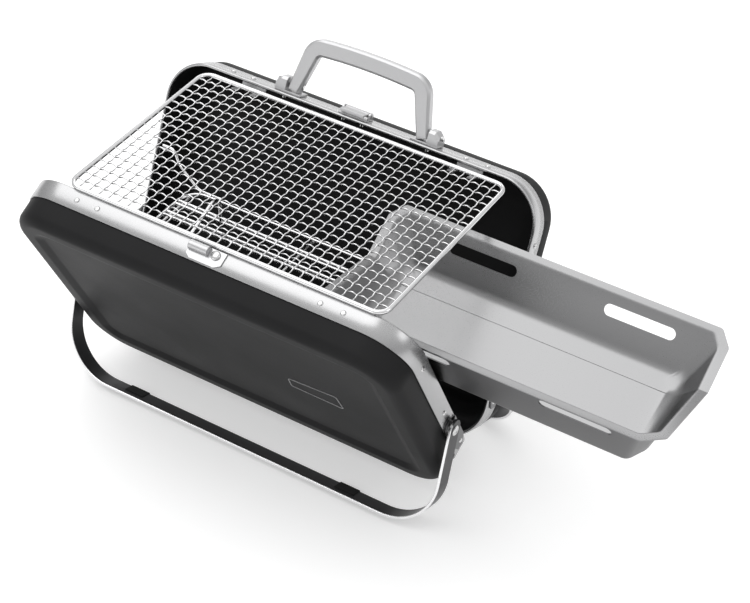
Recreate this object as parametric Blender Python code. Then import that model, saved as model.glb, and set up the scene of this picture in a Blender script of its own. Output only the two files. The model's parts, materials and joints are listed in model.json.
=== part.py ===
"""Folding camp grill: a two-shell case that opens into a V on two U-shaped legs.

A woven grate lies across the open top, and a charcoal trough slides out of the right-hand end.
Sizes are in millimetres and are turned into metres when a mesh is made. +X is the end that the
trough slides out of, -Y is the front, +Z is up. Each shell is built in its own frame on the
hinge line: x along the hinge, y outwards from the plane where the shells meet, z up the shell.
"""

import math

import bmesh
import bpy
from mathutils import Matrix, Vector

MM = 0.001
GAP = 0.3

# Case: both shells are the same pressing, hinged along their bottom edge.
LEAN = math.radians(25.0)
HALF_LENGTH = 227.5
CASE_HEIGHT = 285.0
SHELL_DEPTH = 51.5
HINGE_DROP = 4.0
SHELL_TOP = HINGE_DROP + CASE_HEIGHT
MATING_GAP = 0.4
CORNER_RADIUS = 48.0
CORNER_STEPS = 5
BAND_WIDTH = 21.5
BAND_THICKNESS = 1.2
BAND_MIDDLE = 11.5
HEM = 3.4
PAN_THICKNESS = 1.2
EDGE_RADIUS = 12.0
PANEL_MARGIN = 24.5
PANEL_SLOPE = 10.0
PANEL_STEP = 3.4
PANEL_CORNER = 24.0

# Hinge at the bottom of the shells.
HINGE_HALF = 150.0
KNUCKLES = 5
BARREL_RADIUS = 3.7
PIN_RADIUS = 2.0
LEAF_THICKNESS = 1.2
LEAF_DEPTH = 22.0

# Legs: flat strap bent into a U, swung out of the shell's plane by LEG_SWING when they stand.
LEG_PIVOT_DEPTH = 14.0
LEG_PIVOT_HEIGHT = 97.0
LEG_LENGTH = 119.0
LEG_SWING = math.radians(43.5)
STRAP_WIDTH = 20.0
STRAP_THICKNESS = 3.0
STRAP_BEND = 58.0
ARM_X = 232.9
BRACKET_THICKNESS = 1.5
PAD_X = 136.0
PAD_SHIFT = 8.0
PAD_LENGTH = 24.0
PAD_HEEL = 1.0
PAD_WALL = 2.4
PAD_LID = 1.0
PAD_SOLE_END = -5.5
PAD_LID_END = 3.0

# The loose inner parts are measured from a level plane this far above the hinge.
PLANE_HEIGHT = 254.6

# Grate: a lattice in a round-wire frame; it stands for the finer woven mesh.
GRATE_CENTRE = Vector((9.8, -8.8, 9.7))
GRATE_HALF_X = 184.0
GRATE_HALF_Y = 114.0
GRATE_COLUMNS = 16
GRATE_ROWS = 10
GRATE_FRAME_RADIUS = 2.5
GRATE_WIRE = 1.8
GRATE_CORNER = 13.0

# Trough: the rim bends along a line, and so does the floor.
TROUGH_LEFT = 97.0
TROUGH_RIGHT = 467.0
TROUGH_SHEET = 1.2
SEAM_Y = 1.5
RIM_SEAM = -47.0
RIM_REAR = (53.4, math.tan(math.radians(33.0)))
RIM_FRONT = (-102.2, -math.tan(math.radians(8.6)))
RIM_WIDTH = 9.5
RIM_CHAMFERS = (13.0, 18.0)
FLOOR_SEAM = -69.0
FLOOR_REAR = (21.0, 0.41)
FLOOR_FRONT = (-68.5, 0.412)
FLOOR_INSET = 32.0
FLOOR_CHAMFERS = (9.0, 12.0)
SLOT_CENTRES = (206.5, 376.5)
SLOT_LENGTH = 75.0
SLOT_WIDTH = 12.0

# Wire rack under the trough.
RACK_HEIGHT = -104.0
RACK_HALF_Y = 49.0
RACK_WIRE = 2.0
RACK_LONG_BARS = (-49.0, -27.0, -21.6, 0.0, 6.0, 21.6, 27.0, 49.0)
RACK_CROSS_BARS = (-160.0, -153.0, 0.0, 153.0, 160.0)
LUG_HEIGHT = 182.0
LUG_DEPTH = 6.0

# Tabs under the rear rim that carry the grate's rear wire.
TAB_HEIGHT = 278.6
TAB_THICKNESS = 1.4
TAB_REACH = 18.9

# Handle on the rear shell's top edge.
HANDLE_AXIS_DEPTH = 12.0
HANDLE_AXIS_RISE = 10.0
HANDLE_FOOT_X = 78.0
HANDLE_TOP_X = 68.5
HANDLE_RISE = 57.0
HANDLE_GRIP = 18.5
HANDLE_NECK = 14.0
HANDLE_DEPTH = 12.0
NUB_LENGTH = 13.0


def clear_scene():
    for thing in list(bpy.data.objects):
        bpy.data.objects.remove(thing, do_unlink=True)


def finish(name, colour, roughness, metallic):
    made = bpy.data.materials.new(name)
    made.use_nodes = True
    shader = made.node_tree.nodes["Principled BSDF"]
    shader.inputs["Base Color"].default_value = (*colour, 1.0)
    shader.inputs["Roughness"].default_value = roughness
    shader.inputs["Metallic"].default_value = metallic
    return made


def black_coat(name):
    return finish(name + "_finish", (0.018, 0.018, 0.019), 0.42, 0.0)


def satin_steel(name):
    return finish(name + "_finish", (0.62, 0.62, 0.63), 0.32, 1.0)


def bright_steel(name):
    return finish(name + "_finish", (0.78, 0.78, 0.78), 0.2, 1.0)


def cast_metal(name):
    return finish(name + "_finish", (0.74, 0.74, 0.74), 0.38, 1.0)


def strap_coat(name):
    return finish(name + "_finish", (0.05, 0.05, 0.052), 0.45, 0.3)


def foot_rubber(name):
    return finish(name + "_finish", (0.012, 0.012, 0.012), 0.8, 0.0)


def new_frame(name, matrix, parent=None):
    frame = bpy.data.objects.new(name, None)
    bpy.context.scene.collection.objects.link(frame)
    frame.parent = parent
    frame.matrix_local = matrix
    return frame


def make_object(name, bm, make_finish, parent, origin=(0, 0, 0), smooth_angle=None):
    """Turn a bmesh in millimetres into an object whose origin is at the given point."""
    shift = Vector(origin)
    for vert in bm.verts:
        vert.co = (vert.co - shift) * MM
    bmesh.ops.recalc_face_normals(bm, faces=bm.faces)
    mesh = bpy.data.meshes.new(name)
    bm.to_mesh(mesh)
    bm.free()
    if smooth_angle is not None:
        mesh.shade_smooth()
        mesh.set_sharp_from_angle(angle=math.radians(smooth_angle))
    made = bpy.data.objects.new(name, mesh)
    made.data.materials.append(make_finish(name))
    bpy.context.scene.collection.objects.link(made)
    made.parent = parent
    made.location = shift * MM
    return made


def cut_away(target, name, bm, parent):
    """Cut a bmesh out of an object, and keep the cutter as a hidden guide."""
    cutter = make_object(name, bm, foot_rubber, parent)
    cutter.hide_render = True
    cutter.display_type = "WIRE"
    cut = target.modifiers.new(name, "BOOLEAN")
    cut.operation = "DIFFERENCE"
    cut.solver = "EXACT"
    cut.object = cutter


def rounded_rectangle(half_a, half_b, radius, steps):
    """Points around a rounded rectangle, corner by corner."""
    points = []
    for corner in range(4):
        sign_a = 1 if corner in (0, 3) else -1
        sign_b = 1 if corner in (0, 1) else -1
        for step in range(steps + 1):
            angle = math.pi / 2 * (corner + step / steps)
            a = sign_a * (half_a - radius) + radius * math.cos(angle)
            b = sign_b * (half_b - radius) + radius * math.sin(angle)
            points.append((a, b))
    return points


def arc(radius, start, end, steps):
    """Points on a circle about (0, 0) between two angles in degrees."""
    points = []
    for step in range(steps + 1):
        angle = math.radians(start + (end - start) * step / steps)
        points.append((radius * math.cos(angle), radius * math.sin(angle)))
    return points


def skin_rings(bm, rings, closed=False, fold=None):
    """Join rings into a skin. Open skins get end caps, bent between two points if fold is given."""
    made = [[bm.verts.new(point) for point in ring] for ring in rings]
    count = len(made[0])
    pairs = list(zip(made, made[1:]))
    if closed:
        pairs.append((made[-1], made[0]))
    for lower, upper in pairs:
        for i in range(count):
            j = (i + 1) % count
            bm.faces.new((lower[i], lower[j], upper[j], upper[i]))
    if closed:
        return
    for ring in (made[0], made[-1]):
        if fold is None:
            bm.faces.new(ring)
        else:
            bm.faces.new(ring[fold[0]:fold[1] + 1])
            bm.faces.new(ring[fold[1]:] + ring[:fold[0] + 1])


def sweep(bm, path, section, up, closed=False, widen=None):
    """Sweep a section of (side, up) pairs along a path, with mitred bends.

    widen scales the side of the section at each point of the path.
    """
    up = Vector(up).normalized()
    points = [Vector(point) for point in path]
    count = len(points)
    rings = []
    for i, point in enumerate(points):
        before = points[i - 1] if closed or i > 0 else None
        after = points[(i + 1) % count] if closed or i < count - 1 else None
        first = (point - before).normalized() if before else (after - point).normalized()
        second = (after - point).normalized() if after else first
        tangent = (first + second).normalized()
        stretch = (widen[i] if widen else 1.0) / max(0.4, tangent.dot(second))
        side = tangent.cross(up).normalized()
        lift = side.cross(tangent).normalized()
        rings.append([point + side * (a * stretch) + lift * b for a, b in section])
    skin_rings(bm, rings, closed)


def round_section(radius, sides):
    return arc(radius, 180 / sides, 360 - 180 / sides, sides - 1)


def flat_section(width, height):
    a = width / 2
    b = height / 2
    return [(-a, -b), (a, -b), (a, b), (-a, b)]


def box(bm, low, high):
    centre = [(a + b) / 2 for a, b in zip(low, high)]
    size = [abs(b - a) for a, b in zip(low, high)]
    matrix = Matrix.Translation(centre) @ Matrix.Diagonal((*size, 1.0))
    bmesh.ops.create_cube(bm, size=1.0, matrix=matrix)


def turned(bm, base, axis, profile, sides):
    """Turn a profile of (radius, height) pairs about an axis that starts at base."""
    axis = Vector(axis).normalized()
    across = axis.orthogonal().normalized()
    other = axis.cross(across)
    base = Vector(base)
    rings = []
    for radius, height in profile:
        centre = base + axis * height
        rings.append([centre + across * a + other * b for a, b in arc(radius, 0, 360, sides)[:-1]])
    skin_rings(bm, rings)


def prism(bm, outline, low, high):
    """Extrude a (y, z) outline along x."""
    skin_rings(bm, [[(x, y, z) for y, z in outline] for x in (low, high)])


def shell_ring(offset, depth, radius=None):
    """One ring of the case outline, grown by an offset, at a depth from the mating plane."""
    corner = CORNER_RADIUS + offset if radius is None else radius
    outline = rounded_rectangle(
        HALF_LENGTH + offset, CASE_HEIGHT / 2 + offset, corner, CORNER_STEPS
    )
    return [(x, depth, HINGE_DROP + CASE_HEIGHT / 2 + z) for x, z in outline]


def pan(name, parent):
    """The black pressing: side walls, rounded edge and a recessed centre panel."""
    wall = -(BAND_THICKNESS + GAP)
    rim = HEM + 1.0
    back = SHELL_DEPTH - PAN_THICKNESS
    edge_offset = wall - EDGE_RADIUS
    edge_depth = SHELL_DEPTH - EDGE_RADIUS
    sunk = PANEL_MARGIN + PANEL_SLOPE
    rings = [
        shell_ring(-sunk, SHELL_DEPTH - PANEL_STEP, PANEL_CORNER - PANEL_SLOPE),
        shell_ring(-PANEL_MARGIN, SHELL_DEPTH, PANEL_CORNER),
    ]
    for a, b in arc(EDGE_RADIUS, 90, 0, 4):
        rings.append(shell_ring(edge_offset + a, edge_depth + b))
    rings.append(shell_ring(wall, rim))
    rings.append(shell_ring(wall - PAN_THICKNESS, rim))
    for a, b in arc(EDGE_RADIUS - PAN_THICKNESS, 0, 90, 4):
        rings.append(shell_ring(edge_offset + a, edge_depth + b))
    rings.append(shell_ring(-PANEL_MARGIN - 0.2, back, PANEL_CORNER))
    rings.append(shell_ring(-sunk - 0.2, back - PANEL_STEP, PANEL_CORNER - PANEL_SLOPE))
    bm = bmesh.new()
    skin_rings(bm, rings)
    make_object(name, bm, black_coat, parent, smooth_angle=35)


def band(name, parent):
    """The rim band, with its mating edge folded inwards into a hem."""
    fold = 0.9
    profile = [
        (0.0, BAND_WIDTH),
        (0.0, fold),
        (-fold, 0.0),
        (fold - HEM, 0.0),
        (-HEM, fold),
        (-HEM, HEM - fold),
        (fold - HEM, HEM),
        (-BAND_THICKNESS, HEM),
        (-BAND_THICKNESS, BAND_WIDTH),
    ]
    bm = bmesh.new()
    skin_rings(bm, [shell_ring(a, MATING_GAP + b) for a, b in profile], closed=True)
    make_object(name, bm, satin_steel, parent, smooth_angle=50)


def side_names(mirrored):
    """Each end of a shell in its own frame, with the side of the grill that it lies on."""
    return ((-1, "right"), (1, "left")) if mirrored else ((-1, "left"), (1, "right"))


def rivets(name, parent):
    """The four rivets along the top of a shell's band."""
    head = [(2.8, 0.0), (2.6, 0.7), (1.6, 1.3), (0.5, 1.5)]
    for number, x in enumerate((-156.5, -131.0, 131.0, 156.5), start=1):
        bm = bmesh.new()
        turned(bm, (x, BAND_MIDDLE, SHELL_TOP + GAP), (0, 0, 1), head, 10)
        make_object(f"{name}_{number}", bm, bright_steel, parent, smooth_angle=50)


def leg_mounts(name, parent, mirrored):
    """At each lower end of a shell: a flat plate, and the stepped pin that the strap turns on."""
    outline = [
        (1.2, 62.0), (8.0, 50.0), (17.0, 50.0), (21.0, 62.0), (21.0, 104.0),
        (17.0, 108.0), (10.0, 108.0), (6.0, 100.0), (1.2, 104.0),
    ]
    near = HALF_LENGTH + GAP
    base = near + BRACKET_THICKNESS + GAP
    collar = ARM_X - STRAP_THICKNESS / 2 - GAP - base
    neck = ARM_X + STRAP_THICKNESS / 2 + GAP - base
    profile = [
        (6.5, 0.0), (6.5, collar), (2.6, collar), (2.6, neck), (4.6, neck), (3.6, neck + 1.2),
    ]
    for side, side_name in side_names(mirrored):
        bm = bmesh.new()
        prism(bm, outline, side * near, side * (near + BRACKET_THICKNESS))
        make_object(f"{name}_leg_bracket_{side_name}", bm, satin_steel, parent)
        bm = bmesh.new()
        centre = (side * base, LEG_PIVOT_DEPTH, LEG_PIVOT_HEIGHT)
        turned(bm, centre, (side, 0, 0), profile, 14)
        make_object(f"{name}_leg_pin_{side_name}", bm, bright_steel, parent, smooth_angle=40)


def leg_path():
    """The strap's centre line: down from one pivot, across and up to the other."""
    reach = ARM_X - STRAP_BEND
    drop = STRAP_BEND - LEG_LENGTH
    path = [(-ARM_X, 0.0, 9.0)]
    path += [(a - reach, 0.0, b + drop) for a, b in arc(STRAP_BEND, 180, 270, 6)]
    path += [(a + reach, 0.0, b + drop) for a, b in arc(STRAP_BEND, 270, 360, 6)]
    path.append((ARM_X, 0.0, 9.0))
    return path


def leg(name, parent, mirrored):
    """One U-shaped leg with its feet, hung from a frame on its pivot line."""
    centre = Vector((0.0, LEG_PIVOT_DEPTH, LEG_PIVOT_HEIGHT)) * MM
    swing = Matrix.Translation(centre) @ Matrix.Rotation(LEG_SWING, 4, "X")
    pivot = new_frame(name + "_pivot", swing, parent)

    bm = bmesh.new()
    sweep(bm, leg_path(), flat_section(STRAP_THICKNESS, STRAP_WIDTH), (0, 1, 0))
    strap = make_object(name + "_strap", bm, strap_coat, pivot, smooth_angle=30)
    eyes = bmesh.new()
    for side in (-1, 1):
        turned(eyes, (side * (ARM_X - 5), 0, 0), (side, 0, 0), [(2.9, 0.0), (2.9, 10.0)], 14)
    cut_away(strap, name + "_eyes", eyes, pivot)

    # Each foot is clipped over the strap's inner edge, and its sole is level when the leg stands.
    slot_y = STRAP_WIDTH / 2 + GAP
    slot_z = STRAP_THICKNESS / 2 + GAP
    heel = -slot_y - PAD_HEEL
    low = -slot_z - PAD_WALL
    toe = low - (PAD_SOLE_END - heel) * math.tan(LEG_SWING - LEAN)
    top = slot_z + PAD_LID
    outline = [
        (heel, low), (PAD_SOLE_END, toe), (PAD_SOLE_END, -slot_z), (-slot_y, -slot_z),
        (-slot_y, slot_z), (PAD_LID_END, slot_z), (PAD_LID_END, top), (heel, top),
    ]
    outline = [(y, z - LEG_LENGTH) for y, z in outline]
    for side, side_name in side_names(mirrored):
        bm = bmesh.new()
        middle = side * PAD_X + PAD_SHIFT
        prism(bm, outline, middle - PAD_LENGTH / 2, middle + PAD_LENGTH / 2)
        make_object(f"{name}_foot_{side_name}", bm, foot_rubber, pivot)


def hinge_leaf(name, parent, own_first):
    """A leaf under a shell, curled round the pin and notched for the other shell's knuckles."""
    under = BARREL_RADIUS - LEAF_THICKNESS
    outline = [(LEAF_DEPTH, under), (LEAF_DEPTH, BARREL_RADIUS)]
    outline += arc(BARREL_RADIUS, 90, 380, 14)
    outline += arc(PIN_RADIUS + GAP, 380, 90, 14)
    outline.append((4.0, under))
    bm = bmesh.new()
    prism(bm, outline, -HINGE_HALF, HINGE_HALF)
    leaf = make_object(name, bm, satin_steel, parent, smooth_angle=35)

    knuckle = 2 * HINGE_HALF / KNUCKLES
    notches = bmesh.new()
    for index in range(KNUCKLES):
        if (index % 2 == 0) == own_first:
            continue
        start = index * knuckle - HINGE_HALF - (GAP / 2 if index else 1.0)
        end = (index + 1) * knuckle - HINGE_HALF + (GAP / 2 if index < KNUCKLES - 1 else 1.0)
        box(notches, (start, -8.0, -8.0), (end, 4.6, 8.0))
    cut_away(leaf, name + "_notches", notches, parent)


def hinge_pin(name, parent):
    end = HINGE_HALF + 1.5
    profile = [(2.9, -1.5), (2.9, -GAP), (PIN_RADIUS, -GAP), (PIN_RADIUS, HINGE_HALF + end)]
    bm = bmesh.new()
    turned(bm, (-HINGE_HALF, 0, 0), (1, 0, 0), profile, 12)
    make_object(name, bm, bright_steel, parent, smooth_angle=40)


def rack_lugs(name, parent, mirrored):
    """A small shelf behind the band's hem at each end of a shell, which carries the rack."""
    near = HALF_LENGTH - BAND_THICKNESS - 2 * GAP - PAN_THICKNESS
    far = near - 13.0
    outline = [
        (near, LUG_HEIGHT - 8.0), (near, LUG_HEIGHT), (far, LUG_HEIGHT),
        (far, LUG_HEIGHT - 1.5), (near - 1.5, LUG_HEIGHT - 1.5), (near - 1.5, LUG_HEIGHT - 8.0),
    ]
    for side, side_name in side_names(mirrored):
        bm = bmesh.new()
        skin_rings(bm, [[(side * x, depth, z) for x, z in outline] for depth in (5.0, 14.0)])
        make_object(f"{name}_rack_lug_{side_name}", bm, bright_steel, parent)


def grate_tabs(parent):
    """Slotted strips under the rear rim that reach in below the grate's rear wire."""
    top = SHELL_TOP - HEM - GAP
    low = TAB_HEIGHT
    high = TAB_HEIGHT + TAB_THICKNESS
    outline = [
        (-TAB_REACH, low), (-TAB_REACH, high), (1.0, high), (1.0, top), (2.4, top), (2.4, low),
    ]
    for x, side_name in ((-122.0, "left"), (142.0, "right")):
        bm = bmesh.new()
        prism(bm, outline, x - 15.0, x + 15.0)
        tab = make_object(f"grate_tab_{side_name}", bm, bright_steel, parent)
        slot = bmesh.new()
        box(slot, (x - 8.0, -20.0, 270.0), (x + 8.0, -6.0, 290.0))
        cut_away(tab, f"grate_tab_slot_{side_name}", slot, parent)


def badge(name, parent):
    """A blank slanted plate on the lower right of the front panel."""
    depth = SHELL_DEPTH - PANEL_STEP + GAP
    outline = [(-132.0, 124.5), (-69.0, 125.5), (-70.5, 145.0), (-130.5, 152.0)]
    bm = bmesh.new()
    skin_rings(bm, [[(x, y, z) for x, z in outline] for y in (depth, depth + 0.8)])
    make_object(name, bm, satin_steel, parent)


def front_catch(parent):
    """The fixed half of the fastening: a plate, a half-round cover and a screw."""
    base = SHELL_TOP + GAP
    bm = bmesh.new()
    outline = [(-21.0, 3.0), (20.0, 3.0), (20.0, 17.0), (14.0, 21.0), (-15.0, 21.0), (-21.0, 17.0)]
    skin_rings(bm, [[(x, y, z) for x, y in outline] for z in (base, base + 1.2)])
    make_object("catch_plate", bm, satin_steel, parent)

    bm = bmesh.new()
    foot = base + 1.2 + GAP
    curve = [(8.3 + a, foot + 1.5 + b) for a, b in arc(5.0, 0, 180, 8)]
    prism(bm, [(13.3, foot)] + curve + [(3.3, foot)], -3.0, 19.0)
    make_object("catch_cover", bm, cast_metal, parent, smooth_angle=40)

    bm = bmesh.new()
    turned(bm, (-11.0, 9.0, foot), (0, 0, 1), [(5.0, 0.0), (5.0, 1.2), (3.8, 2.4), (1.0, 2.9)], 16)
    make_object("catch_screw", bm, bright_steel, parent, smooth_angle=40)


def latch_bore(target, name, parent, axis):
    bore = bmesh.new()
    turned(bore, (-30.0, axis[1], axis[2]), (1, 0, 0), [(1.5, 0.0), (1.5, 60.0)], 12)
    cut_away(target, name, bore, parent)


def rear_latch(parent):
    """The moving half of the fastening: a hooked plate that turns on a pin between two ears."""
    base = SHELL_TOP + GAP
    axis = (0.0, 15.0, base + 5.4)
    floor = base + 1.0
    outline = [(5.0, base), (20.0, base), (20.0, floor), (19.0, floor), (19.0, floor + 5.0)]
    outline += [(17.0, floor + 7.0), (13.0, floor + 7.0), (11.0, floor + 5.0)]
    outline += [(11.0, floor), (5.0, floor)]
    bm = bmesh.new()
    prism(bm, outline, -20.0, 14.5)
    plate = make_object("latch_plate", bm, satin_steel, parent)
    between = bmesh.new()
    box(between, (-17.5, 4.0, floor), (12.0, 22.0, floor + 9.0))
    cut_away(plate, "latch_plate_notch", between, parent)
    latch_bore(plate, "latch_plate_bore", parent, axis)

    bm = bmesh.new()
    turned(bm, (-21.0, axis[1], axis[2]), (1, 0, 0), [(1.2, 0.0), (1.2, 36.5)], 10)
    make_object("latch_pin", bm, bright_steel, parent, smooth_angle=40)

    top = axis[2] + 1.0
    below = axis[2] - 0.8
    low = axis[2] - 2.4
    barrel = [(axis[1] + a, axis[2] + b) for a, b in arc(2.8, -60, 150, 8)]
    hook = [(11.0, top), (2.2, top), (2.2, low), (4.0, low), (4.0, below)]
    bm = bmesh.new()
    prism(bm, barrel + hook + [(11.6, below), (12.6, low)], -17.0, 11.5)
    lever = make_object("latch_lever", bm, cast_metal, parent, axis, smooth_angle=40)
    latch_bore(lever, "latch_lever_bore", parent, axis)


def handle_bore(target, name, parent, origin):
    bore = bmesh.new()
    turned(bore, (-110.0, *origin[1:]), (1, 0, 0), [(2.4, 0.0), (2.4, 220.0)], 14)
    cut_away(target, name, bore, parent)


def handle(parent):
    """The carrying handle: a tapering bow on two lugs, folding outwards behind the case."""
    axis_z = SHELL_TOP + HANDLE_AXIS_RISE
    top = SHELL_TOP + HANDLE_RISE
    bend = 15.0
    lean = math.atan2(HANDLE_FOOT_X - HANDLE_TOP_X, top - axis_z)
    tilt = math.degrees(lean)
    low = SHELL_TOP + 7.0
    path = []
    for side in (-1, 1):
        foot_x = HANDLE_FOOT_X + (axis_z - low) * math.tan(lean)
        half = [(side * foot_x, HANDLE_AXIS_DEPTH, low)]
        for a, b in arc(bend, tilt, 90, 5):
            x = HANDLE_TOP_X - bend + a
            half.append((side * x, HANDLE_AXIS_DEPTH, top - bend + b))
        path += half if side < 0 else list(reversed(half))
    chamfer = 2.8
    a = HANDLE_GRIP / 2
    b = HANDLE_DEPTH / 2
    section = [
        (-a, chamfer - b), (chamfer - a, -b), (a - chamfer, -b), (a, chamfer - b),
        (a, b - chamfer), (a - chamfer, b), (chamfer - a, b), (-a, b - chamfer),
    ]
    neck = HANDLE_NECK / HANDLE_GRIP
    bm = bmesh.new()
    sweep(bm, path, section, (0, 1, 0), widen=[neck] + [1.0] * (len(path) - 2) + [neck])
    origin = (0.0, HANDLE_AXIS_DEPTH, axis_z)
    bow = make_object("handle_bow", bm, cast_metal, parent, origin, smooth_angle=30)
    handle_bore(bow, "handle_bow_bore", parent, origin)

    # Each bracket is a foot under the bow's end with a rounded lug outboard of it.
    base = SHELL_TOP + GAP
    foot = base + 2.0
    near = HANDLE_FOOT_X + HANDLE_NECK / 2 + 1.4
    outline = [(4.0, foot), (4.0, base), (20.0, base), (20.0, foot)]
    outline += [(HANDLE_AXIS_DEPTH + c, axis_z + d) for c, d in arc(6.5, 0, 180, 8)]
    end = NUB_LENGTH + 18.0
    pin = [(2.0, 0.0), (2.0, end), (3.2, end), (2.8, end + 1.0)]
    for side, side_name in side_names(False):
        bm = bmesh.new()
        prism(bm, outline, side * (near - 19.0), side * (near + NUB_LENGTH))
        bracket = make_object(f"handle_bracket_{side_name}", bm, cast_metal, parent, smooth_angle=40)
        above = bmesh.new()
        box(above, (side * (near - 21.0), 2.0, foot), (side * near, 22.0, foot + 20.0))
        cut_away(bracket, f"handle_bracket_notch_{side_name}", above, parent)
        handle_bore(bracket, f"handle_bracket_bore_{side_name}", parent, origin)
        bm = bmesh.new()
        turned(bm, (side * 69.0, *origin[1:]), (side, 0, 0), pin, 12)
        make_object(f"handle_pin_{side_name}", bm, bright_steel, parent, smooth_angle=40)


def plane_height(seam, rear_slope, front_slope, y):
    return seam + (rear_slope if y > SEAM_Y else front_slope) * (y - SEAM_Y)


def trough_ring(seam, rear, front, left, right, chamfers, grow=0.0):
    """One ten-cornered ring of the trough, bent along the seam; grow moves it outwards and down.

    chamfers are the cuts at its rear and front corners.
    """
    rear_cut, front_cut = chamfers
    rear_y = rear[0] + grow
    front_y = front[0] - grow
    left -= grow
    right += grow
    corners = [
        (right, rear_y - rear_cut), (right - rear_cut, rear_y), (left + rear_cut, rear_y),
        (left, rear_y - rear_cut), (left, SEAM_Y), (left, front_y + front_cut),
        (left + front_cut, front_y), (right - front_cut, front_y), (right, front_y + front_cut),
        (right, SEAM_Y),
    ]
    return [(x, y, plane_height(seam, rear[1], front[1], y) - grow) for x, y in corners]


def trough(name, parent):
    """A tray with a bent rim, sloping walls, a creased floor and two slots in each long wall."""
    edge = (RIM_SEAM, RIM_REAR, RIM_FRONT, TROUGH_LEFT, TROUGH_RIGHT, RIM_CHAMFERS)
    inner_rear = (RIM_REAR[0] - 6.0, RIM_REAR[1])
    inner_front = (RIM_FRONT[0] + RIM_WIDTH, RIM_FRONT[1])
    left = TROUGH_LEFT + RIM_WIDTH
    right = TROUGH_RIGHT - RIM_WIDTH
    cuts = [cut - 4.0 for cut in RIM_CHAMFERS]
    brink = (RIM_SEAM, inner_rear, inner_front, left, right, cuts)
    left = TROUGH_LEFT + FLOOR_INSET
    right = TROUGH_RIGHT - FLOOR_INSET
    floor = (FLOOR_SEAM, FLOOR_REAR, FLOOR_FRONT, left, right, FLOOR_CHAMFERS)
    under_edge = [(x, y, z - TROUGH_SHEET) for x, y, z in trough_ring(*edge)]
    rings = [trough_ring(*floor), trough_ring(*brink), trough_ring(*edge), under_edge]
    rings += [trough_ring(*brink, grow=TROUGH_SHEET), trough_ring(*floor, grow=TROUGH_SHEET)]
    bm = bmesh.new()
    skin_rings(bm, rings, fold=(4, 9))
    tray = make_object(name, bm, satin_steel, parent)

    slots = bmesh.new()
    for brink_point, floor_point in ((inner_rear, FLOOR_REAR), (inner_front, FLOOR_FRONT)):
        high_z = plane_height(RIM_SEAM, RIM_REAR[1], RIM_FRONT[1], brink_point[0])
        low_z = plane_height(FLOOR_SEAM, FLOOR_REAR[1], FLOOR_FRONT[1], floor_point[0])
        high = Vector((0.0, brink_point[0], high_z))
        down = Vector((0.0, floor_point[0], low_z)) - high
        middle = high + down * 0.32
        down.normalize()
        through = Vector((1.0, 0.0, 0.0)).cross(down)
        bar = SLOT_LENGTH / 2 - SLOT_WIDTH / 2
        outline = [(a + bar, b) for a, b in arc(SLOT_WIDTH / 2, -90, 90, 6)]
        outline += [(a - bar, b) for a, b in arc(SLOT_WIDTH / 2, 90, 270, 6)]
        for x in SLOT_CENTRES:
            rings = []
            for reach in (-6.0, 6.0):
                level = middle + through * reach
                rings.append([level + Vector((x + a, 0, 0)) + down * b for a, b in outline])
            skin_rings(slots, rings)
    cut_away(tray, name + "_slots", slots, parent)


def lattice(bm, x_bars, y_bars, width, reach, low, high):
    """A flat lattice in one piece: bars along y at x_bars and along x at y_bars."""
    def breaks(bars, end):
        edges = {-end, end}
        for bar in bars:
            edges |= {bar - width / 2, bar + width / 2}
        return sorted(edges)

    def filled(edges, bars, i):
        middle = (edges[i] + edges[i + 1]) / 2
        return any(abs(middle - bar) < width / 2 for bar in bars)

    xs = breaks(x_bars, reach[0])
    ys = breaks(y_bars, reach[1])
    solid = {
        (i, j)
        for i in range(len(xs) - 1)
        for j in range(len(ys) - 1)
        if filled(xs, x_bars, i) or filled(ys, y_bars, j)
    }
    verts = {}

    def vert(i, j, z):
        if (i, j, z) not in verts:
            verts[i, j, z] = bm.verts.new((xs[i], ys[j], z))
        return verts[i, j, z]

    for i, j in sorted(solid):
        corners = [(i, j), (i + 1, j), (i + 1, j + 1), (i, j + 1)]
        for z in (low, high):
            bm.faces.new([vert(*corner, z) for corner in corners])
        beyond = [(i, j - 1), (i + 1, j), (i, j + 1), (i - 1, j)]
        for side, neighbour in enumerate(beyond):
            if neighbour in solid:
                continue
            a = corners[side]
            b = corners[(side + 1) % 4]
            bm.faces.new((vert(*a, low), vert(*b, low), vert(*b, high), vert(*a, high)))


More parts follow.
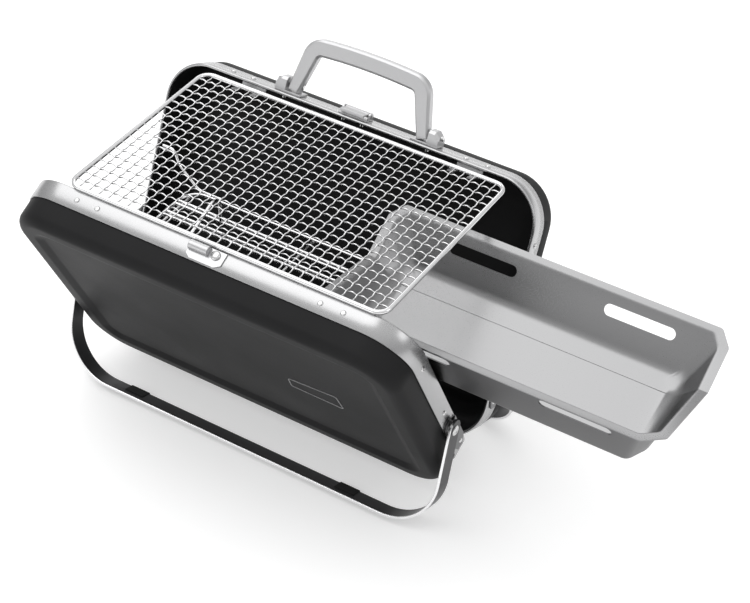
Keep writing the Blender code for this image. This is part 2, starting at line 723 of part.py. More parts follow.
def rack(parent):
    """The rack under the trough: a flat grid, its hangers and the bows the trough rests on."""
    bm = bmesh.new()
    reach = (RACK_CROSS_BARS[-1] + RACK_WIRE, RACK_HALF_Y + RACK_WIRE)
    low = RACK_HEIGHT - RACK_WIRE
    high = RACK_HEIGHT + RACK_WIRE
    lattice(bm, RACK_CROSS_BARS, RACK_LONG_BARS, 2 * RACK_WIRE, reach, low, high)
    make_object("rack_grid", bm, bright_steel, parent)

    wire = round_section(RACK_WIRE, 8)
    beside = RACK_HALF_Y + 2 * RACK_WIRE + GAP
    rest = LUG_HEIGHT + GAP + RACK_WIRE
    lug_y = LUG_DEPTH * math.cos(LEAN) + rest * math.sin(LEAN)
    lug_z = rest * math.cos(LEAN) - LUG_DEPTH * math.sin(LEAN) - PLANE_HEIGHT
    for side, side_name in ((-1, "front"), (1, "rear")):
        for end, end_name in ((-1, "left"), (1, "right")):
            path = [
                (end * 120.0, side * beside, RACK_HEIGHT),
                (end * 150.0, side * beside, RACK_HEIGHT),
                (end * 196.0, side * 78.0, RACK_HEIGHT),
                (end * 206.0, side * lug_y, lug_z),
                (end * 221.0, side * lug_y, lug_z),
            ]
            bm = bmesh.new()
            sweep(bm, path, wire, (0, 0, 1))
            name = f"rack_hanger_{side_name}_{end_name}"
            make_object(name, bm, bright_steel, parent, smooth_angle=50)

    below = FLOOR_SEAM - TROUGH_SHEET - 2.7
    for x, name in ((-100.0, "rack_bow_left"), (146.0, "rack_bow_right")):
        path = [
            (x, -RACK_HALF_Y, high + GAP),
            (x, -RACK_HALF_Y, -95.4),
            (x, -45.0, below + FLOOR_FRONT[1] * (-45.0 - SEAM_Y)),
            (x, 9.0, below + FLOOR_FRONT[1] * (9.0 - SEAM_Y)),
            (x, 15.5, -71.5),
            (x, 21.6, -79.0),
            (x, 21.6, high + GAP),
        ]
        bm = bmesh.new()
        sweep(bm, path, wire, (1, 0, 0))
        make_object(name, bm, bright_steel, parent, smooth_angle=50)


def grate(parent):
    """The cooking grate: a round-wire frame round a lattice of thin wires."""
    centre = GRATE_CENTRE
    bm = bmesh.new()
    loop = rounded_rectangle(GRATE_HALF_X, GRATE_HALF_Y, GRATE_CORNER, 4)
    sweep(bm, [(x, y, 0.0) for x, y in loop], round_section(GRATE_FRAME_RADIUS, 8), (0, 0, 1), True)
    bmesh.ops.translate(bm, verts=bm.verts, vec=centre)
    make_object("grate_frame", bm, bright_steel, parent, smooth_angle=50)

    columns = [(2 * i / GRATE_COLUMNS - 1) * GRATE_HALF_X for i in range(1, GRATE_COLUMNS)]
    rows = [(2 * i / GRATE_ROWS - 1) * GRATE_HALF_Y for i in range(1, GRATE_ROWS)]
    stop = GRATE_FRAME_RADIUS + GAP
    bm = bmesh.new()
    reach = (GRATE_HALF_X - stop, GRATE_HALF_Y - stop)
    lattice(bm, columns, rows, GRATE_WIRE, reach, -GRATE_WIRE, GRATE_WIRE)
    bmesh.ops.translate(bm, verts=bm.verts, vec=centre)
    make_object("grate_mesh", bm, bright_steel, parent)


def stand_on_floor(root):
    """Move the whole grill so that the origin is under its middle, on the floor."""
    bpy.context.view_layer.update()
    corners = []
    for thing in bpy.data.objects:
        if thing.type != "MESH" or thing.hide_render:
            continue
        corners += [thing.matrix_world @ vert.co for vert in thing.data.vertices]
    low = Vector([min(corner[axis] for corner in corners) for axis in range(3)])
    high = Vector([max(corner[axis] for corner in corners) for axis in range(3)])
    root.location = (-(low.x + high.x) / 2, -(low.y + high.y) / 2, -low.z)


def main():
    clear_scene()
    root = new_frame("grill", Matrix.Identity(4))
    turn = Matrix.Rotation(math.pi, 4, "Z")
    front = new_frame("front_shell", Matrix.Rotation(LEAN, 4, "X") @ turn, root)
    rear = new_frame("rear_shell", Matrix.Rotation(-LEAN, 4, "X"), root)
    inner = new_frame("inner_parts", Matrix.Translation((0, 0, PLANE_HEIGHT * MM)), root)

    for name, shell in (("front", front), ("rear", rear)):
        mirrored = shell is front
        pan(name + "_pan", shell)
        band(name + "_band", shell)
        rivets(name + "_rivet", shell)
        leg_mounts(name, shell, mirrored)
        rack_lugs(name, shell, mirrored)
        leg(name + "_leg", shell, mirrored)
    hinge_leaf("front_hinge_leaf", front, True)
    hinge_leaf("rear_hinge_leaf", rear, False)
    hinge_pin("hinge_pin", front)
    badge("badge", front)
    front_catch(front)
    rear_latch(rear)
    handle(rear)
    grate_tabs(rear)
    trough("trough", inner)
    rack(inner)
    grate(inner)
    stand_on_floor(root)


main()
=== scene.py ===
"""Folding camp grill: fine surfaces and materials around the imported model.

Pieces are made in millimetres, each in the frame of the part it belongs to: a shell's frame has x
along the hinge, y outwards from the plane where the shells meet and z up the shell; the frame of
the loose inner parts is level, above the hinge. +X is the end the trough slides out of.
"""

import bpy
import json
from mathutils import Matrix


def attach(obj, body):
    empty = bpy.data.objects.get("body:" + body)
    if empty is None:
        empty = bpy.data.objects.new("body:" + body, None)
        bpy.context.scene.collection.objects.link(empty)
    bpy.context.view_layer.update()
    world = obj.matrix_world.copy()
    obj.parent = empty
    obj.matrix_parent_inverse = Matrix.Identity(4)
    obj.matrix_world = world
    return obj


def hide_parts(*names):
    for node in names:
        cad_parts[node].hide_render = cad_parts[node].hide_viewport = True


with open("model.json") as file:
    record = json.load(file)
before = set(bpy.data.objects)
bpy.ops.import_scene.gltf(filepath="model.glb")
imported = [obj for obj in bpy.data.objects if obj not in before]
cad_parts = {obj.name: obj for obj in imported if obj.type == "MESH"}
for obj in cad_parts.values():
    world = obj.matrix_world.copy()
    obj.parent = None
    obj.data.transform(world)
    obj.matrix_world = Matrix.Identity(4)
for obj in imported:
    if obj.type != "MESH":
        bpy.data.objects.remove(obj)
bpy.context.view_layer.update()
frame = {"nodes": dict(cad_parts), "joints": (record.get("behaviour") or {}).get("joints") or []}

import json
import math

import bmesh
import bpy
from mathutils import Matrix, Vector

MM = 0.001
GAP = 0.3

# Case.
LEAN = math.radians(25.0)
HALF_LENGTH = 227.5
CASE_HEIGHT = 285.0
SHELL_DEPTH = 51.5
HINGE_DROP = 4.0
SHELL_TOP = HINGE_DROP + CASE_HEIGHT
MATING_GAP = 0.4
CORNER_RADIUS = 48.0
CORNER_STEPS = 14
BAND_WIDTH = 21.5
BAND_THICKNESS = 1.2
BAND_MIDDLE = 11.5
HEM = 3.4
PAN_THICKNESS = 1.2
EDGE_RADIUS = 12.0
PANEL_MARGIN = 24.5
PANEL_SLOPE = 10.0
PANEL_STEP = 3.4
PANEL_CORNER = 24.0
PANEL_FLAT = 40.0
PANEL_FLAT_CORNER = 4.0
TOP_RIVETS = (-156.5, -131.0, 131.0, 156.5)
END_RIVETS = (128.0, 229.0)
BRACKET_RIVETS = ((10.5, 76.0), (9.5, 58.0))

# Legs.
LEG_PIVOT = Vector((0.0, 14.0, 97.0))
LEG_LENGTH = 119.0
LEG_SWING = math.radians(43.5)
STRAP_WIDTH = 20.0
STRAP_THICKNESS = 3.0
STRAP_BEND = 58.0
STRAP_END_RISE = 1.5
STRAP_CUT = 0.5
ARM_X = 232.9
BRACKET_THICKNESS = 1.5
PAD_X = 136.0
PAD_SHIFT = 8.0
PAD_LENGTH = 24.0
PAD_HEEL = 0.8
PAD_WALL = 2.8
PAD_LID = 0.7
PAD_SOLE_END = -5.5
PAD_LID_END = 3.0
PAD_CLEARANCE = 0.05

# Loose inner parts, from a level plane this far above the hinge.
PLANE_HEIGHT = 254.6
GRATE_CENTRE = Vector((9.8, -8.8, 9.7))
GRATE_HALF_X = 184.0
GRATE_HALF_Y = 114.0
GRATE_CORNER = 13.0
GRATE_FRAME_RADIUS = 2.5
MESH_COLUMNS = 31
MESH_ROWS = 19
MESH_WIRE = 0.7
COLUMN_CRIMP = 0.7
ROW_CRIMP = -0.95
CRIMP_FADE = 0.8

# Trough.
TROUGH_LEFT = 97.0
TROUGH_RIGHT = 467.0
TROUGH_SHEET = 1.2
SEAM_Y = 1.5
RIM_SEAM = -47.0
RIM_REAR = (53.4, math.tan(math.radians(33.0)))
RIM_FRONT = (-102.2, -math.tan(math.radians(8.6)))
RIM_WIDTH = 9.5
RIM_WIDTH_REAR = 6.0
RIM_BEND = 2.4
RIM_CHAMFERS = (13.0, 18.0)
FLOOR_SEAM = -69.0
FLOOR_REAR = (21.0, 0.41)
FLOOR_FRONT = (-68.5, 0.412)
FLOOR_INSET = 32.0
FLOOR_CHAMFERS = (9.0, 12.0)
BEND_END = 14.0
BEND_FRONT = 5.0
BEND_REAR = 8.0
FLAT_END = 30.0
FLAT_FRONT = 14.0
FLAT_REAR = 16.0
SEAM_HALF = 0.7
RING_STEPS = 4
SLOT_CENTRES = (206.5, 376.5)
SLOT_LENGTH = 75.0
SLOT_WIDTH = 12.0
SLOT_DROP = 0.32
SLOT_CUT = 7.0

# Rack.
RACK_HEIGHT = -104.0
RACK_HALF_X = 162.0
RACK_HALF_Y = 49.0
RACK_WIRE = 2.0
RACK_CORNER = 22.0
LONG_WIRES = (-27.0, -21.6, 0.0, 6.0, 21.6, 27.0)
CROSS_WIRES = (-153.0, 0.0, 153.0)
HANGER_X = (120.0, 150.0, 196.0, 206.0, 221.0)
HANGER_ELBOW_Y = 78.0
BOW_X = (("left", -100.0), ("right", 146.0))
BOW_FRONT = -45.0
BOW_REAR = 9.0
BOW_FOOT = 21.6
LUG_HEIGHT = 182.0
LUG_DEPTH = 6.0

# Handle.
HANDLE_AXIS_DEPTH = 12.0
HANDLE_AXIS_RISE = 10.0
HANDLE_FOOT_X = 78.0
HANDLE_TOP_X = 68.5
HANDLE_RISE = 57.0
HANDLE_GRIP = 18.5
HANDLE_NECK = 14.0
HANDLE_DEPTH = 12.0
HANDLE_BEND = 15.0
HANDLE_ARCH = 2.0
NUB_LENGTH = 13.0

# Camera: its direction and lens, and its place in metres from the inner parts' frame.
CAMERA_AZIMUTH = math.radians(32.57)
CAMERA_ELEVATION = math.radians(40.84)
CAMERA_LENS = 97.69
CAMERA_SENSOR = 36.0
CAMERA_PLACE = Vector((0.93954, -1.30425, 1.23460))


def joint_place(name):
    """A point on a joint's axis at rest, in metres."""
    for joint in frame["joints"]:
        if joint["name"] == name:
            return Vector(joint["pos_m"])
    raise ValueError(name)


HINGE = joint_place("case_fold")
FRONT = Matrix.Translation(HINGE) @ Matrix.Rotation(LEAN, 4, "X") @ Matrix.Rotation(math.pi, 4, "Z")
REAR = Matrix.Translation(HINGE) @ Matrix.Rotation(-LEAN, 4, "X")
INNER = Matrix.Translation(HINGE + Vector((0.0, 0.0, PLANE_HEIGHT * MM)))
SWING = Matrix.Translation(LEG_PIVOT * MM) @ Matrix.Rotation(LEG_SWING, 4, "X")


# Materials.

# The two noises add up to about 1, and most of their sum lies in this range.
NOISE_RANGE = (0.7, 1.3)


def surface(name, colour, metallic, roughness, **look):
    """A Principled finish with fine grain, broad patches of tone and small changes of gloss.

    grain is the size of the fine texture in mm, stretch scales it along each axis, relief is the
    bump's height in mm, gloss the change of roughness, patches the change of tone, patch_scale
    the number of patches in a metre. specular and coat are the shader's own levels.
    """
    gloss = look.get("gloss", 0.05)
    patches = look.get("patches", 0.06)
    made = bpy.data.materials.new(name)
    made.use_nodes = True
    nodes = made.node_tree.nodes
    links = made.node_tree.links
    shader = nodes["Principled BSDF"]
    shader.inputs["Metallic"].default_value = metallic
    shader.inputs["Specular IOR Level"].default_value = look.get("specular", 0.5)
    shader.inputs["Coat Weight"].default_value = look.get("coat", 0.0)
    shader.inputs["Coat Roughness"].default_value = 0.25

    where = nodes.new("ShaderNodeTexCoord")
    scaled = nodes.new("ShaderNodeMapping")
    scaled.inputs["Scale"].default_value = look.get("stretch", (1.0, 1.0, 1.0))
    links.new(where.outputs["Object"], scaled.inputs["Vector"])
    fine = nodes.new("ShaderNodeTexNoise")
    fine.inputs["Scale"].default_value = 1.0 / (look["grain"] * MM)
    fine.inputs["Detail"].default_value = 3.0
    links.new(scaled.outputs["Vector"], fine.inputs["Vector"])
    broad = nodes.new("ShaderNodeTexNoise")
    broad.inputs["Scale"].default_value = look.get("patch_scale", 14.0)
    broad.inputs["Detail"].default_value = 4.0
    links.new(where.outputs["Object"], broad.inputs["Vector"])

    both = nodes.new("ShaderNodeMath")
    both.operation = "ADD"
    links.new(fine.outputs["Fac"], both.inputs[0])
    links.new(broad.outputs["Fac"], both.inputs[1])

    def mapped(low, high):
        """The summed noise, spread from low to high."""
        spread = nodes.new("ShaderNodeMapRange")
        spread.inputs["From Min"].default_value = NOISE_RANGE[0]
        spread.inputs["From Max"].default_value = NOISE_RANGE[1]
        spread.inputs["To Min"].default_value = low
        spread.inputs["To Max"].default_value = high
        links.new(both.outputs["Value"], spread.inputs["Value"])
        return spread.outputs["Result"]

    links.new(mapped(roughness - gloss, roughness + gloss), shader.inputs["Roughness"])
    mixed = nodes.new("ShaderNodeMix")
    mixed.data_type = "RGBA"
    mixed.inputs["A"].default_value = (*[c * (1.0 - patches) for c in colour], 1.0)
    mixed.inputs["B"].default_value = (*[c * (1.0 + patches) for c in colour], 1.0)
    links.new(mapped(0.0, 1.0), mixed.inputs["Factor"])
    links.new(mixed.outputs["Result"], shader.inputs["Base Color"])

    bump = nodes.new("ShaderNodeBump")
    bump.inputs["Strength"].default_value = 0.5
    bump.inputs["Distance"].default_value = look.get("relief", 0.02) * MM
    links.new(fine.outputs["Fac"], bump.inputs["Height"])
    links.new(bump.outputs["Normal"], shader.inputs["Normal"])
    return made


BLACK = surface(
    "black_powder_coat", (0.018, 0.018, 0.0185), 0.0, 0.42,
    grain=0.55, relief=0.03, patches=0.1, specular=0.04,
)
BAND = surface(
    "satin_band", (0.42, 0.42, 0.424), 1.0, 0.27,
    grain=0.35, stretch=(0.08, 1.0, 1.0), relief=0.006, patches=0.03,
)
PLATE = surface(
    "satin_plate", (0.5, 0.5, 0.505), 1.0, 0.3,
    grain=0.3, relief=0.008, patches=0.05,
)
WIRE = surface("bright_wire", (0.72, 0.72, 0.725), 1.0, 0.15, grain=1.5, relief=0.008)
RIVET = surface("rivet_head", (0.62, 0.62, 0.62), 1.0, 0.2, grain=0.8, relief=0.006, patches=0.04)
CAST = surface(
    "cast_silver", (0.49, 0.49, 0.495), 0.8, 0.34,
    grain=0.4, relief=0.02, patches=0.04, coat=0.1,
)
TRAY = surface(
    "brushed_tray", (0.27, 0.27, 0.273), 1.0, 0.3,
    grain=0.42, stretch=(0.3, 1.0, 1.0), relief=0.012, patches=0.04, patch_scale=4.0,
)
# The tray's outside is the same steel painted about three times darker: painted shade for the dim light
# its outer walls and underside reflect.
TRAY_OUTSIDE_SHADE = surface(
    "tray_outside_painted_shade", (0.095, 0.095, 0.097), 1.0, 0.34,
    grain=0.42, stretch=(0.3, 1.0, 1.0), relief=0.012, patches=0.05, patch_scale=4.0,
)
STRAP = surface(
    "strap_black", (0.028, 0.028, 0.03), 0.35, 0.36,
    grain=0.5, stretch=(0.4, 1.0, 1.0), relief=0.02, gloss=0.06, patches=0.12,
)
STRAP_EDGE = surface(
    "strap_bare_edge", (0.78, 0.78, 0.785), 1.0, 0.24,
    grain=0.3, stretch=(0.1, 1.0, 1.0), relief=0.01, patches=0.05,
)
RUBBER = surface(
    "foot_rubber", (0.012, 0.012, 0.012), 0.0, 0.72,
    grain=0.7, relief=0.06, patches=0.2, specular=0.3,
)
BADGE_LINE = surface("badge_line", (0.5, 0.5, 0.505), 1.0, 0.34, grain=0.3, patches=0.08)
BRACKET = surface(
    "dark_bracket", (0.17, 0.17, 0.173), 1.0, 0.32, grain=0.3, relief=0.008, patches=0.05,
)


# Shapes.

def arc(radius, start, end, steps):
    """Points on a circle about (0, 0) between two angles in degrees."""
    points = []
    for step in range(steps + 1):
        angle = math.radians(start + (end - start) * step / steps)
        points.append((radius * math.cos(angle), radius * math.sin(angle)))
    return points


def rounded_rectangle(half_a, half_b, radius, steps):
    """Points around a rectangle about (0, 0), anticlockwise from its right-hand end."""
    points = []
    for corner in range(4):
        sign_a = 1 if corner in (0, 3) else -1
        sign_b = 1 if corner in (0, 1) else -1
        for step in range(steps + 1):
            angle = math.pi / 2 * (corner + step / steps)
            a = sign_a * (half_a - radius) + radius * math.cos(angle)
            b = sign_b * (half_b - radius) + radius * math.sin(angle)
            points.append((a, b))
    return points


def rounded_corner(before, corner, after, reach, steps):
    """Points that round one corner, starting and ending up to reach away from it."""
    back = before - corner
    on = after - corner
    start = corner + back * min(0.48, reach / max(back.length, 1e-6))
    end = corner + on * min(0.48, reach / max(on.length, 1e-6))
    points = []
    for step in range(steps + 1):
        t = step / steps
        points.append(start * (1 - t) ** 2 + corner * (2 * t * (1 - t)) + end * t ** 2)
    return points


def rounded_path(points, reach, steps=8):
    """A polyline with each inner corner rounded."""
    points = [Vector(point) for point in points]
    path = [points[0]]
    for before, corner, after in zip(points, points[1:], points[2:]):
        path += rounded_corner(before, corner, after, reach, steps)
    path.append(points[-1])
    return path


def rounded_outline(corners, reach):
    """A flat closed outline with each corner rounded."""
    points = [Vector((a, b, 0.0)) for a, b in corners]
    outline = []
    for i, corner in enumerate(points):
        after = points[(i + 1) % len(points)]
        outline += rounded_corner(points[i - 1], corner, after, reach, 6)
    return [(point.x, point.y) for point in outline]


def skin(bm, rings, closed=False, caps=True):
    """Join rings of points into a skin. Returns the rings as vertices."""
    made = [[bm.verts.new(point) for point in ring] for ring in rings]
    count = len(made[0])
    pairs = list(zip(made, made[1:]))
    if closed:
        pairs.append((made[-1], made[0]))
    for lower, upper in pairs:
        for i in range(count):
            j = (i + 1) % count
            bm.faces.new((lower[i], lower[j], upper[j], upper[i]))
    if caps and not closed:
        bm.faces.new(made[0])
        bm.faces.new(made[-1])
    return made


def sweep(bm, path, section, up, closed=False, widen=None):
    """Sweep a section of (side, up) pairs along a path, with mitred bends.

    widen scales the side of the section at each point of the path.
    """
    up = Vector(up).normalized()
    points = [Vector(point) for point in path]
    count = len(points)
    rings = []
    for i, point in enumerate(points):
        before = points[i - 1] if closed or i > 0 else None
        after = points[(i + 1) % count] if closed or i < count - 1 else None
        first = (point - before).normalized() if before else (after - point).normalized()
        second = (after - point).normalized() if after else first
        tangent = (first + second).normalized()
        stretch = (widen[i] if widen else 1.0) / max(0.4, tangent.dot(second))
        side = tangent.cross(up).normalized()
        lift = side.cross(tangent).normalized()
        rings.append([point + side * (a * stretch) + lift * b for a, b in section])
    skin(bm, rings, closed)


def round_section(radius, sides):
    """A full circle for sweep."""
    return arc(radius, 0, 360, sides)[:-1]


def chamfered_section(width, height, cut):
    """A bar's section with its four corners cut."""
    a = width / 2
    b = height / 2
    return [
        (-a, cut - b), (cut - a, -b), (a - cut, -b), (a, cut - b),
        (a, b - cut), (a - cut, b), (cut - a, b), (-a, b - cut),
    ]


def turned(bm, base, axis, profile, sides=24):
    """Turn a profile of (radius, height) pairs about an axis that starts at base."""
    axis = Vector(axis).normalized()
    across = axis.orthogonal().normalized()
    other = axis.cross(across)
    rings = []
    for radius, height in profile:
        centre = Vector(base) + axis * height
        rings.append([centre + across * a + other * b for a, b in arc(radius, 0, 360, sides)[:-1]])
    skin(bm, rings)


def prism(bm, outline, low, high, axis):
    """Extrude an outline along an axis: its pairs are the other two coordinates, in order."""
    rings = []
    for reach in (low, high):
        ring = []
        for a, b in outline:
            point = [a, b]
            point.insert("xyz".index(axis), reach)
            ring.append(tuple(point))
        rings.append(ring)
    skin(bm, rings)


def inset(outline, distance):
    """A convex outline moved inwards, given anticlockwise or clockwise."""
    points = [Vector(point) for point in outline]
    middle = sum(points, Vector((0.0, 0.0))) / len(points)
    moved = []
    for i, point in enumerate(points):
        normals = []
        for a, b in ((points[i - 1], point), (point, points[(i + 1) % len(points)])):
            along = (b - a).normalized()
            normal = Vector((-along.y, along.x))
            if normal.dot(middle - point) < 0:
                normal = -normal
            normals.append(normal)
        both = normals[0] + normals[1]
        moved.append(point + both * (distance / both.dot(normals[0])))
    return moved


def piece(name, bm, place, body, finish, stands_for=(), sharp=40, bevel=None):
    """Turn a bmesh in millimetres into an object in a frame, riding on a body.

    Its edges are softened by bevel, in mm, or else shaded sharp from an angle in degrees.
    """
    for vert in bm.verts:
        vert.co *= MM
    bmesh.ops.recalc_face_normals(bm, faces=bm.faces)
    mesh = bpy.data.meshes.new(name)
    bm.to_mesh(mesh)
    bm.free()
    mesh.shade_smooth()
    made = bpy.data.objects.new(name, mesh)
    bpy.context.scene.collection.objects.link(made)
    made.matrix_world = place
    made.data.materials.append(finish)
    if bevel:
        soft = made.modifiers.new("soft_edges", "BEVEL")
        soft.width = bevel * MM
        soft.segments = 3
        soft.limit_method = "ANGLE"
        soft.angle_limit = math.radians(30)
        soft.harden_normals = True
    else:
        mesh.set_sharp_from_angle(angle=math.radians(sharp))
    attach(made, body)
    if stands_for:
        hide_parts(*stands_for)
    return made


# Case.

def shell_ring(offset, depth, radius=None):
    """The case's outline moved outwards by offset, in a plane at a depth of its shell."""
    corner = CORNER_RADIUS + offset if radius is None else radius
    outline = rounded_rectangle(
        HALF_LENGTH + offset, CASE_HEIGHT / 2 + offset, corner, CORNER_STEPS
    )
    return [(x, depth, HINGE_DROP + CASE_HEIGHT / 2 + z) for x, z in outline]


def pan(name, place, body):
    """The black pressing: walls, a rounded edge, and a panel sunk by a soft step."""
    wall = -(BAND_THICKNESS + GAP)
    rim = HEM + 1.0
    back = SHELL_DEPTH - PAN_THICKNESS
    flat_end = wall - EDGE_RADIUS

    def panel(depth):
        """The panel's profile on the sheet's face that lies at this depth."""
        sunk = depth - PANEL_STEP
        steps = [
            (-PANEL_MARGIN - PANEL_FLAT, sunk, PANEL_FLAT_CORNER),
            (-PANEL_MARGIN - PANEL_SLOPE, sunk, PANEL_CORNER - PANEL_SLOPE),
            (-PANEL_MARGIN, depth, PANEL_CORNER),
            (flat_end, depth, CORNER_RADIUS + flat_end),
        ]
        return [tuple(point) for point in rounded_path(steps, 2.2, 5)]

    profile = panel(SHELL_DEPTH)
    for a, b in arc(EDGE_RADIUS, 90, 0, 10)[1:]:
        offset = flat_end + a
        profile.append((offset, SHELL_DEPTH - EDGE_RADIUS + b, CORNER_RADIUS + offset))
    profile += [(wall, rim + 0.3, CORNER_RADIUS + wall), (wall - 0.3, rim, CORNER_RADIUS + wall)]
    inner = wall - PAN_THICKNESS
    profile.append((inner, rim, CORNER_RADIUS + inner))
    for a, b in arc(EDGE_RADIUS - PAN_THICKNESS, 0, 90, 10)[:-1]:
        offset = flat_end + a
        profile.append((offset, SHELL_DEPTH - EDGE_RADIUS + b, CORNER_RADIUS + offset))
    profile += reversed(panel(back))
    bm = bmesh.new()
    skin(bm, [shell_ring(*point) for point in profile])
    piece(f"{name}_shell", bm, place, body, BLACK, [f"{name}_pan"], sharp=50)


def band(name, place, body):
    """The rim band with its rolled hem."""
    roll = HEM / 2
    profile = [(0.0, BAND_WIDTH - 0.3)]
    profile += [(a - roll, roll + b) for a, b in arc(roll, 0, -180, 10)]
    profile += [
        (-HEM, HEM - 0.8), (0.8 - HEM, HEM), (-BAND_THICKNESS, HEM),
        (-BAND_THICKNESS, BAND_WIDTH), (-0.3, BAND_WIDTH),
    ]
    bm = bmesh.new()
    skin(bm, [shell_ring(a, MATING_GAP + b) for a, b in profile], closed=True)
    piece(f"{name}_rim", bm, place, body, BAND, [f"{name}_band"], sharp=45)


RIVET_HEAD = [
    (2.9, 0.0), (2.85, 0.4), (2.4, 1.0), (1.7, 1.35), (1.2, 1.3), (0.9, 0.8), (0.2, 0.7),
]
LOW_RIVET = [(2.5, 0.0), (2.4, 0.35), (1.9, 0.85), (1.2, 1.05), (0.7, 0.75), (0.15, 0.7)]


def rivets(name, place, body):
    """Rivets along the top and the ends of a band, and on the leg brackets."""
    bm = bmesh.new()
    for x in TOP_RIVETS:
        turned(bm, (x, BAND_MIDDLE, SHELL_TOP), (0, 0, 1), RIVET_HEAD)
    for side in (-1, 1):
        for height in END_RIVETS:
            turned(bm, (side * HALF_LENGTH, BAND_MIDDLE, height), (side, 0, 0), RIVET_HEAD)
        plate = side * (HALF_LENGTH + GAP + BRACKET_THICKNESS)
        for depth, height in BRACKET_RIVETS:
            turned(bm, (plate, depth, height), (side, 0, 0), LOW_RIVET)
    stands_for = [f"{name}_rivet_{number}" for number in range(1, 5)]
    piece(f"{name}_rivets", bm, place, body, RIVET, stands_for)


def leg_mounts(name, place, body, mirrored):
    """Bracket plates on the shell's ends, and the stepped pins the strap turns on."""
    outline = [
        (1.2, 62.0), (8.0, 50.0), (17.0, 50.0), (21.0, 62.0), (21.0, 104.0),
        (17.0, 108.0), (10.0, 108.0), (6.0, 100.0), (1.2, 104.0),
    ]
    near = HALF_LENGTH + GAP
    base = near + BRACKET_THICKNESS
    collar = ARM_X - STRAP_THICKNESS / 2 - base - 0.1
    neck = ARM_X + STRAP_THICKNESS / 2 - base + 0.1
    profile = [
        (6.5, 0.0), (6.5, collar - 0.4), (6.1, collar), (2.8, collar), (2.8, neck),
        (5.4, neck), (5.6, neck + 0.3), (5.2, neck + 0.9), (4.0, neck + 1.4),
        (2.2, neck + 1.5), (1.9, neck + 1.1), (0.3, neck + 1.1),
    ]
    for side in (-1, 1):
        side_name = "right" if (side < 0) == mirrored else "left"
        bm = bmesh.new()
        prism(bm, outline, side * near, side * base, "x")
        title = f"{name}_leg_bracket_{side_name}"
        piece(f"{title}_plate", bm, place, body, BRACKET, [title], bevel=0.4)
        bm = bmesh.new()
        centre = (side * base, LEG_PIVOT.y, LEG_PIVOT.z)
        turned(bm, centre, (side, 0, 0), profile, 32)
        title = f"{name}_leg_pin_{side_name}"
        piece(f"{title}_boss", bm, place, body, RIVET, [title])


# Legs.

def leg(name, shell, body, mirrored):
    """A strap leg with rounded ends, black faces and bare edges, and its rubber feet."""
    place = shell @ SWING
    reach = ARM_X - STRAP_BEND
    drop = STRAP_BEND - LEG_LENGTH
    half = STRAP_WIDTH / 2
    path = []
    for a, b in arc(half, 88, 0, 6):
        path.append((Vector((-ARM_X, 0.0, STRAP_END_RISE + b)), a))
    path += [(Vector((a - reach, 0.0, b + drop)), half) for a, b in arc(STRAP_BEND, 180, 270, 20)]
    path += [(Vector((a + reach, 0.0, b + drop)), half) for a, b in arc(STRAP_BEND, 270, 360, 20)]
    for a, b in arc(half, 0, 88, 6):
        path.append((Vector((ARM_X, 0.0, STRAP_END_RISE + b)), a))
    rings = []
    for i, (point, width) in enumerate(path):
        before = path[max(i - 1, 0)][0]
        after = path[min(i + 1, len(path) - 1)][0]
        across = (after - before).normalized().cross(Vector((0.0, 1.0, 0.0)))
        cut = min(STRAP_CUT, width / 2)
        section = chamfered_section(STRAP_THICKNESS, 2 * width, cut)
        rings.append([point + across * a + Vector((0.0, b, 0.0)) for a, b in section])
    bm = bmesh.new()
    skin(bm, rings)
    strap = piece(f"{name}_bar", bm, place, body, STRAP, [f"{name}_strap"], sharp=25)
    strap.data.materials.append(STRAP_EDGE)
    for face in strap.data.polygons:
        if abs(face.normal.y) > 0.6:
            face.material_index = 1

    slot_y = half + PAD_CLEARANCE
    slot_z = STRAP_THICKNESS / 2 + PAD_CLEARANCE
    for side in (-1, 1):
        side_name = "right" if (side < 0) == mirrored else "left"
        node = f"{name}_foot_{side_name}"
        bm = bmesh.new()
        heel = -slot_y - PAD_HEEL
        low = -slot_z - PAD_WALL
        toe = low - (PAD_SOLE_END - heel) * math.tan(LEG_SWING - LEAN)
        top = slot_z + PAD_LID
        outline = [
            (heel, low), (PAD_SOLE_END, toe), (PAD_SOLE_END, -slot_z), (-slot_y, -slot_z),
            (-slot_y, slot_z), (PAD_LID_END, slot_z), (PAD_LID_END, top), (heel, top),
        ]
        outline = [(y, z - LEG_LENGTH) for y, z in outline]
        middle = side * PAD_X + PAD_SHIFT
        prism(bm, outline, middle - PAD_LENGTH / 2, middle + PAD_LENGTH / 2, "x")
        piece(f"{node}_pad", bm, place, body, RUBBER, [node], bevel=0.5)


# Fittings on the top edges.

def badge():
    """A blank dark plate with a raised outline."""
    depth = SHELL_DEPTH - PANEL_STEP - 0.6
    corners = [(-132.0, 124.5), (-69.0, 125.5), (-70.5, 145.0), (-130.5, 152.0)]
    outer = rounded_outline(corners, 4.0)
    inner = rounded_outline(inset(corners, 1.1), 3.2)
    plate = rounded_outline(inset(corners, 0.5), 3.5)
    bm = bmesh.new()
    rings = []
    for outline, height in ((outer, 0.0), (outer, 1.1), (inner, 1.1), (inner, 0.0)):
        rings.append([(x, depth + height, z) for x, z in outline])
    skin(bm, rings, closed=True)
    piece("badge_outline", bm, FRONT, "front_case", BADGE_LINE, ["badge"], sharp=30)
    bm = bmesh.new()
    skin(bm, [[(x, depth + height, z) for x, z in plate] for height in (-0.2, 0.75)])
    piece("badge_plate", bm, FRONT, "front_case", BLACK, sharp=30)


